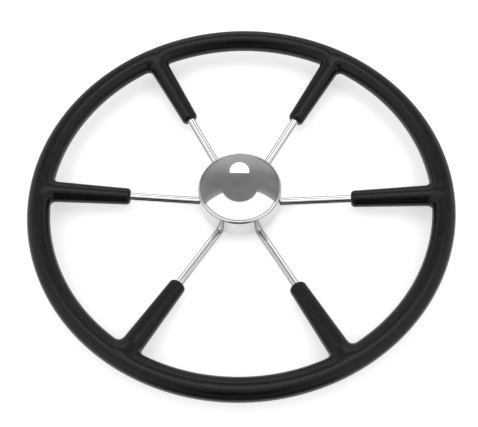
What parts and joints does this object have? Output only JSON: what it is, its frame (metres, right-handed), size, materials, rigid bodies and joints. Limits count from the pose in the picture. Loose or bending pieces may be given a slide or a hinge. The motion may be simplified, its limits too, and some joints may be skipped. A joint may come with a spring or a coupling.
{
  "type": "ship steering wheel",
  "caption": "Boat steering wheel with polished rod spokes, a black foam rim with a foam grip on each spoke, and a polished hub drum with a domed lift-off cap.",
  "frame": {"origin": "centre of the hub boss's flat back face, on the wheel's axis", "axes": "+Z along the wheel's axis from the back face towards the domed cap; +X over the first spoke; +Y over the keyway"},
  "size_m": [0.5499, 0.55, 0.0599],
  "materials": {
    "foam": "satin",
    "core_steel": "satin",
    "spoke_polish": "polished",
    "boss_steel": "satin",
    "drum_polish": "polished",
    "cap_polish": "polished",
    "screw_steel": "satin",
    "seal_rubber": "matte"
  },
  "bodies": {
    "wheel": {"rim_core": "core_steel", "spoke_1": "spoke_polish", "spoke_2": "spoke_polish", "spoke_3": "spoke_polish", "spoke_4": "spoke_polish", "spoke_5": "spoke_polish", "spoke_6": "spoke_polish", "rim_grip": "foam", "hub_boss": "boss_steel", "spoke_screws": "screw_steel", "hub_cover": "drum_polish", "cover_screws": "screw_steel"},
    "cap": {"centre_cap": "cap_polish", "cap_seal": "seal_rubber"}
  },
  "joints": [
    {"name": "cap_lift", "type": "slide", "parent": "wheel", "child": "cap", "axis": [0, 0, 1], "range_m": [0, 0.06]}
  ]
}
